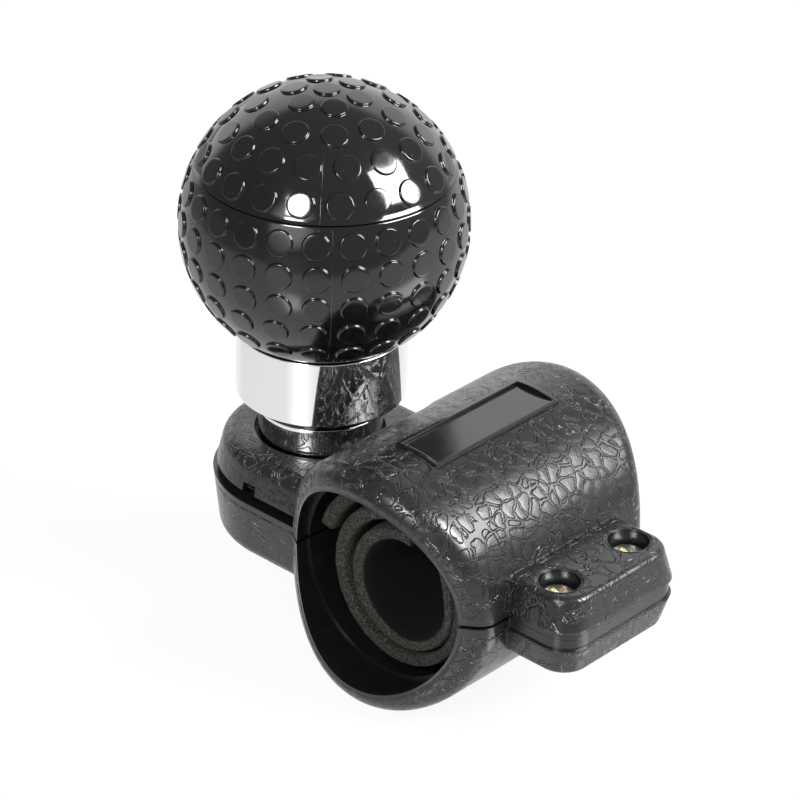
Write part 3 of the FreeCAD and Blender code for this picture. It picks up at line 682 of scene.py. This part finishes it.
lamps = {
    # turned from the camera and raised, in degrees; distance and size in mm; twist; radiance compared with white
    "keySoftbox": (77.0, 37.0, 900.0, (500.0, 430.0), -22.0, 29.0),
    "frontSoftbox": (-26.5, 35.0, 900.0, (215.0, 215.0), 8.0, 34.0),
}


def towards(turn, rise):
    a = math.radians(turn)
    level = Vector(studio["front"]) * math.cos(a) + Vector(studio["side"]) * math.sin(a)
    return level * math.cos(math.radians(rise)) + Vector((0, 0, math.sin(math.radians(rise))))


def coatedPaper():
    # coated white paper: white to the lens with the part's shadow on it, and it mirrors the lamps faintly
    material = bpy.data.materials.new("glossyPaperFloor")
    material.use_nodes = True
    tree = material.node_tree
    tree.nodes.clear()
    place = add(tree, "TexCoord").outputs["Object"]
    place = add(tree, "VectorMath", {"Scale": 1000.0}, {0: place}, operation="SCALE")
    forward = add(tree, "VectorMath", {1: studio["front"]}, {0: place}, operation="DOT_PRODUCT").outputs["Value"]
    sideways = add(tree, "VectorMath", {1: studio["side"]}, {0: place}, operation="DOT_PRODUCT").outputs["Value"]
    # the sheet that the gloss sees ends in front and at both sides, and the dim room begins
    low, high = paper["frontSpan"]
    sheet = add(tree, "MapRange", {1: low, 2: high, 3: 1.0, 4: 0.0}, {0: forward}, **smooth)
    for (low, high), (near, far) in ((paper["leftSpan"], (0.0, 1.0)), (paper["rightSpan"], (1.0, 0.0))):
        side = add(tree, "MapRange", {1: low, 2: high, 3: near, 4: far}, {0: sideways}, **smooth)
        sheet = add(tree, "Math", links={0: sheet, 1: side}, operation="MULTIPLY")
    low, high = paper["brightSpan"]
    levels = {1: low, 2: high, 3: paper["bright"], 4: paper["bright"] + paper["brighter"]}
    bright = add(tree, "MapRange", levels, {0: sideways})
    low, high = paper["shadeSpan"]
    shade = add(tree, "MapRange", {1: low, 2: high, 3: paper["shade"], 4: 1.0}, {0: forward}, **smooth)
    bright = add(tree, "Math", links={0: bright, 1: shade}, operation="MULTIPLY")
    sheen = add(tree, "Mix", {2: studio["room"]}, {0: sheet, 3: bright}, data_type="FLOAT")
    path = add(tree, "LightPath")
    sheen = add(tree, "Mix", {3: 1.0}, {0: path.outputs["Is Camera Ray"], 2: sheen}, data_type="FLOAT")
    matt = add(tree, "BsdfDiffuse", {"Color": hexColour(paper["colour"])})
    white = add(tree, "Emission", {"Color": (1, 1, 1, 1)}, {"Strength": sheen})
    coat = add(tree, "BsdfGlossy", {"Color": (1, 1, 1, 1), "Roughness": paper["coatRoughness"]})
    coated = add(tree, "MixShader", {0: paper["coat"]}, {1: white, 2: coat})
    plain = add(tree, "MixShader", {0: paper["whiteness"]}, {1: matt, 2: white})
    seen = add(tree, "MixShader", links={0: path.outputs["Is Camera Ray"], 1: matt, 2: plain})
    mixed = add(tree, "MixShader", links={0: path.outputs["Is Glossy Ray"], 1: seen, 2: coated})
    add(tree, "OutputMaterial", links={"Surface": mixed})
    return material


def studioFloor():
    bm = bmesh.new()
    half = paper["size"] / 2 * mm
    corners = ((-1, -1), (1, -1), (1, 1), (-1, 1))
    bm.faces.new([bm.verts.new((sx * half, sy * half, paper["height"] * mm)) for sx, sy in corners])
    mesh = bpy.data.meshes.new("studioFloor")
    bm.to_mesh(mesh)
    bm.free()
    mesh.materials.append(coatedPaper())
    floor = bpy.data.objects.new("studioFloor", mesh)
    scene.collection.objects.link(floor)


def studioWorld():
    # what the gloss mirrors: a dim room in front, a lit backdrop behind and a pale ceiling
    world = bpy.data.worlds.new("studioRoom")
    scene.world = world
    world.use_nodes = True
    tree = world.node_tree
    tree.nodes.clear()
    path = add(tree, "LightPath")
    direction = add(tree, "TexCoord").outputs["Generated"]
    up = add(tree, "SeparateXYZ", links={0: direction}).outputs[2]
    forward = add(tree, "VectorMath", {1: studio["front"]}, {0: direction}, operation="DOT_PRODUCT").outputs["Value"]
    sideways = add(tree, "VectorMath", {1: studio["side"]}, {0: direction}, operation="DOT_PRODUCT").outputs["Value"]
    dimmer, brighter = studio["room"] - studio["wallSwing"], studio["room"] + studio["wallSwing"]
    walls = add(tree, "MapRange", {1: -1.0, 2: 1.0, 3: dimmer, 4: brighter}, {0: sideways})
    low, high = studio["ceilingUp"]
    lighter = studio["ceiling"] - studio["room"]
    ceiling = add(tree, "MapRange", {1: low, 2: high, 3: 0.0, 4: lighter}, {0: up}, **smooth)
    room = add(tree, "Math", links={0: walls, 1: ceiling}, operation="ADD")
    low, high = studio["backdropAway"]
    behind = add(tree, "MapRange", {1: low, 2: high, 3: 0.0, 4: 1.0}, {0: forward}, **smooth)
    low, high = studio["backdropUp"]
    below = add(tree, "MapRange", {1: low, 2: high, 3: 1.0, 4: 0.0}, {0: up}, **smooth)
    behind = add(tree, "Math", links={0: behind, 1: below}, operation="MULTIPLY")
    room = add(tree, "Mix", {3: studio["backdrop"]}, {0: behind, 2: room}, data_type="FLOAT")
    glowing = {1: towards(*studio["glowAt"])}
    glow = add(tree, "VectorMath", glowing, {0: direction}, operation="DOT_PRODUCT").outputs["Value"]
    low, high = studio["glowEdge"]
    glow = add(tree, "MapRange", {1: low, 2: high, 3: 0.0, 4: studio["glow"]}, {0: glow}, **smooth)
    room = add(tree, "Math", links={0: room, 1: glow}, operation="ADD")
    plain = add(tree, "Mix", {2: studio["ambient"]}, {0: path.outputs["Is Glossy Ray"], 3: room}, data_type="FLOAT")
    seen = {0: path.outputs["Is Camera Ray"], 2: plain}
    strength = add(tree, "Mix", {3: 1.0}, seen, data_type="FLOAT")  # pure white to the lens
    back = add(tree, "Background", {"Color": (1, 1, 1, 1)}, {"Strength": strength})
    add(tree, "OutputWorld", links={"Surface": back})


def placeLamps():
    middle = Vector((spindleX, 0.0, ball["height"])) * mm
    for name, (turn, rise, distance, (width, depth), twist, radiance) in lamps.items():
        light = bpy.data.lights.new(name, "AREA")
        light.shape = "RECTANGLE"
        light.size, light.size_y = width * mm, depth * mm
        light.energy = radiance * math.pi * light.size * light.size_y
        lamp = bpy.data.objects.new(name, light)
        away = towards(turn, rise)
        facing = away.to_track_quat("Z", "Y").to_matrix().to_4x4()
        twisted = facing @ Matrix.Rotation(math.radians(twist), 4, "Z")
        lamp.matrix_world = Matrix.Translation(middle + away * distance * mm) @ twisted
        lamp.visible_camera = False
        scene.collection.objects.link(lamp)


def placeCamera():
    a, e, r = (math.radians(camera[k]) for k in ("azimuth", "elevation", "roll"))
    back = Vector((math.sin(a) * math.cos(e), -math.cos(a) * math.cos(e), math.sin(e)))
    level = Vector((math.cos(a), math.sin(a), 0))
    rise = back.cross(level)
    right = math.cos(r) * level + math.sin(r) * rise
    top = -math.sin(r) * level + math.cos(r) * rise
    data = bpy.data.cameras.new("pictureCamera")
    data.lens, data.sensor_width = camera["lens"], camera["sensor"]
    data.clip_start, data.clip_end = camera["clip"]
    eye = bpy.data.objects.new("pictureCamera", data)
    turn = Matrix((right, top, back)).transposed().to_4x4()
    eye.matrix_world = Matrix.Translation((Vector(camera["target"]) + back * camera["distance"]) * mm) @ turn
    scene.collection.objects.link(eye)
    scene.camera = eye


studioFloor()
studioWorld()
placeLamps()
placeCamera()
print("studio ready:", len(lamps), "lamps")
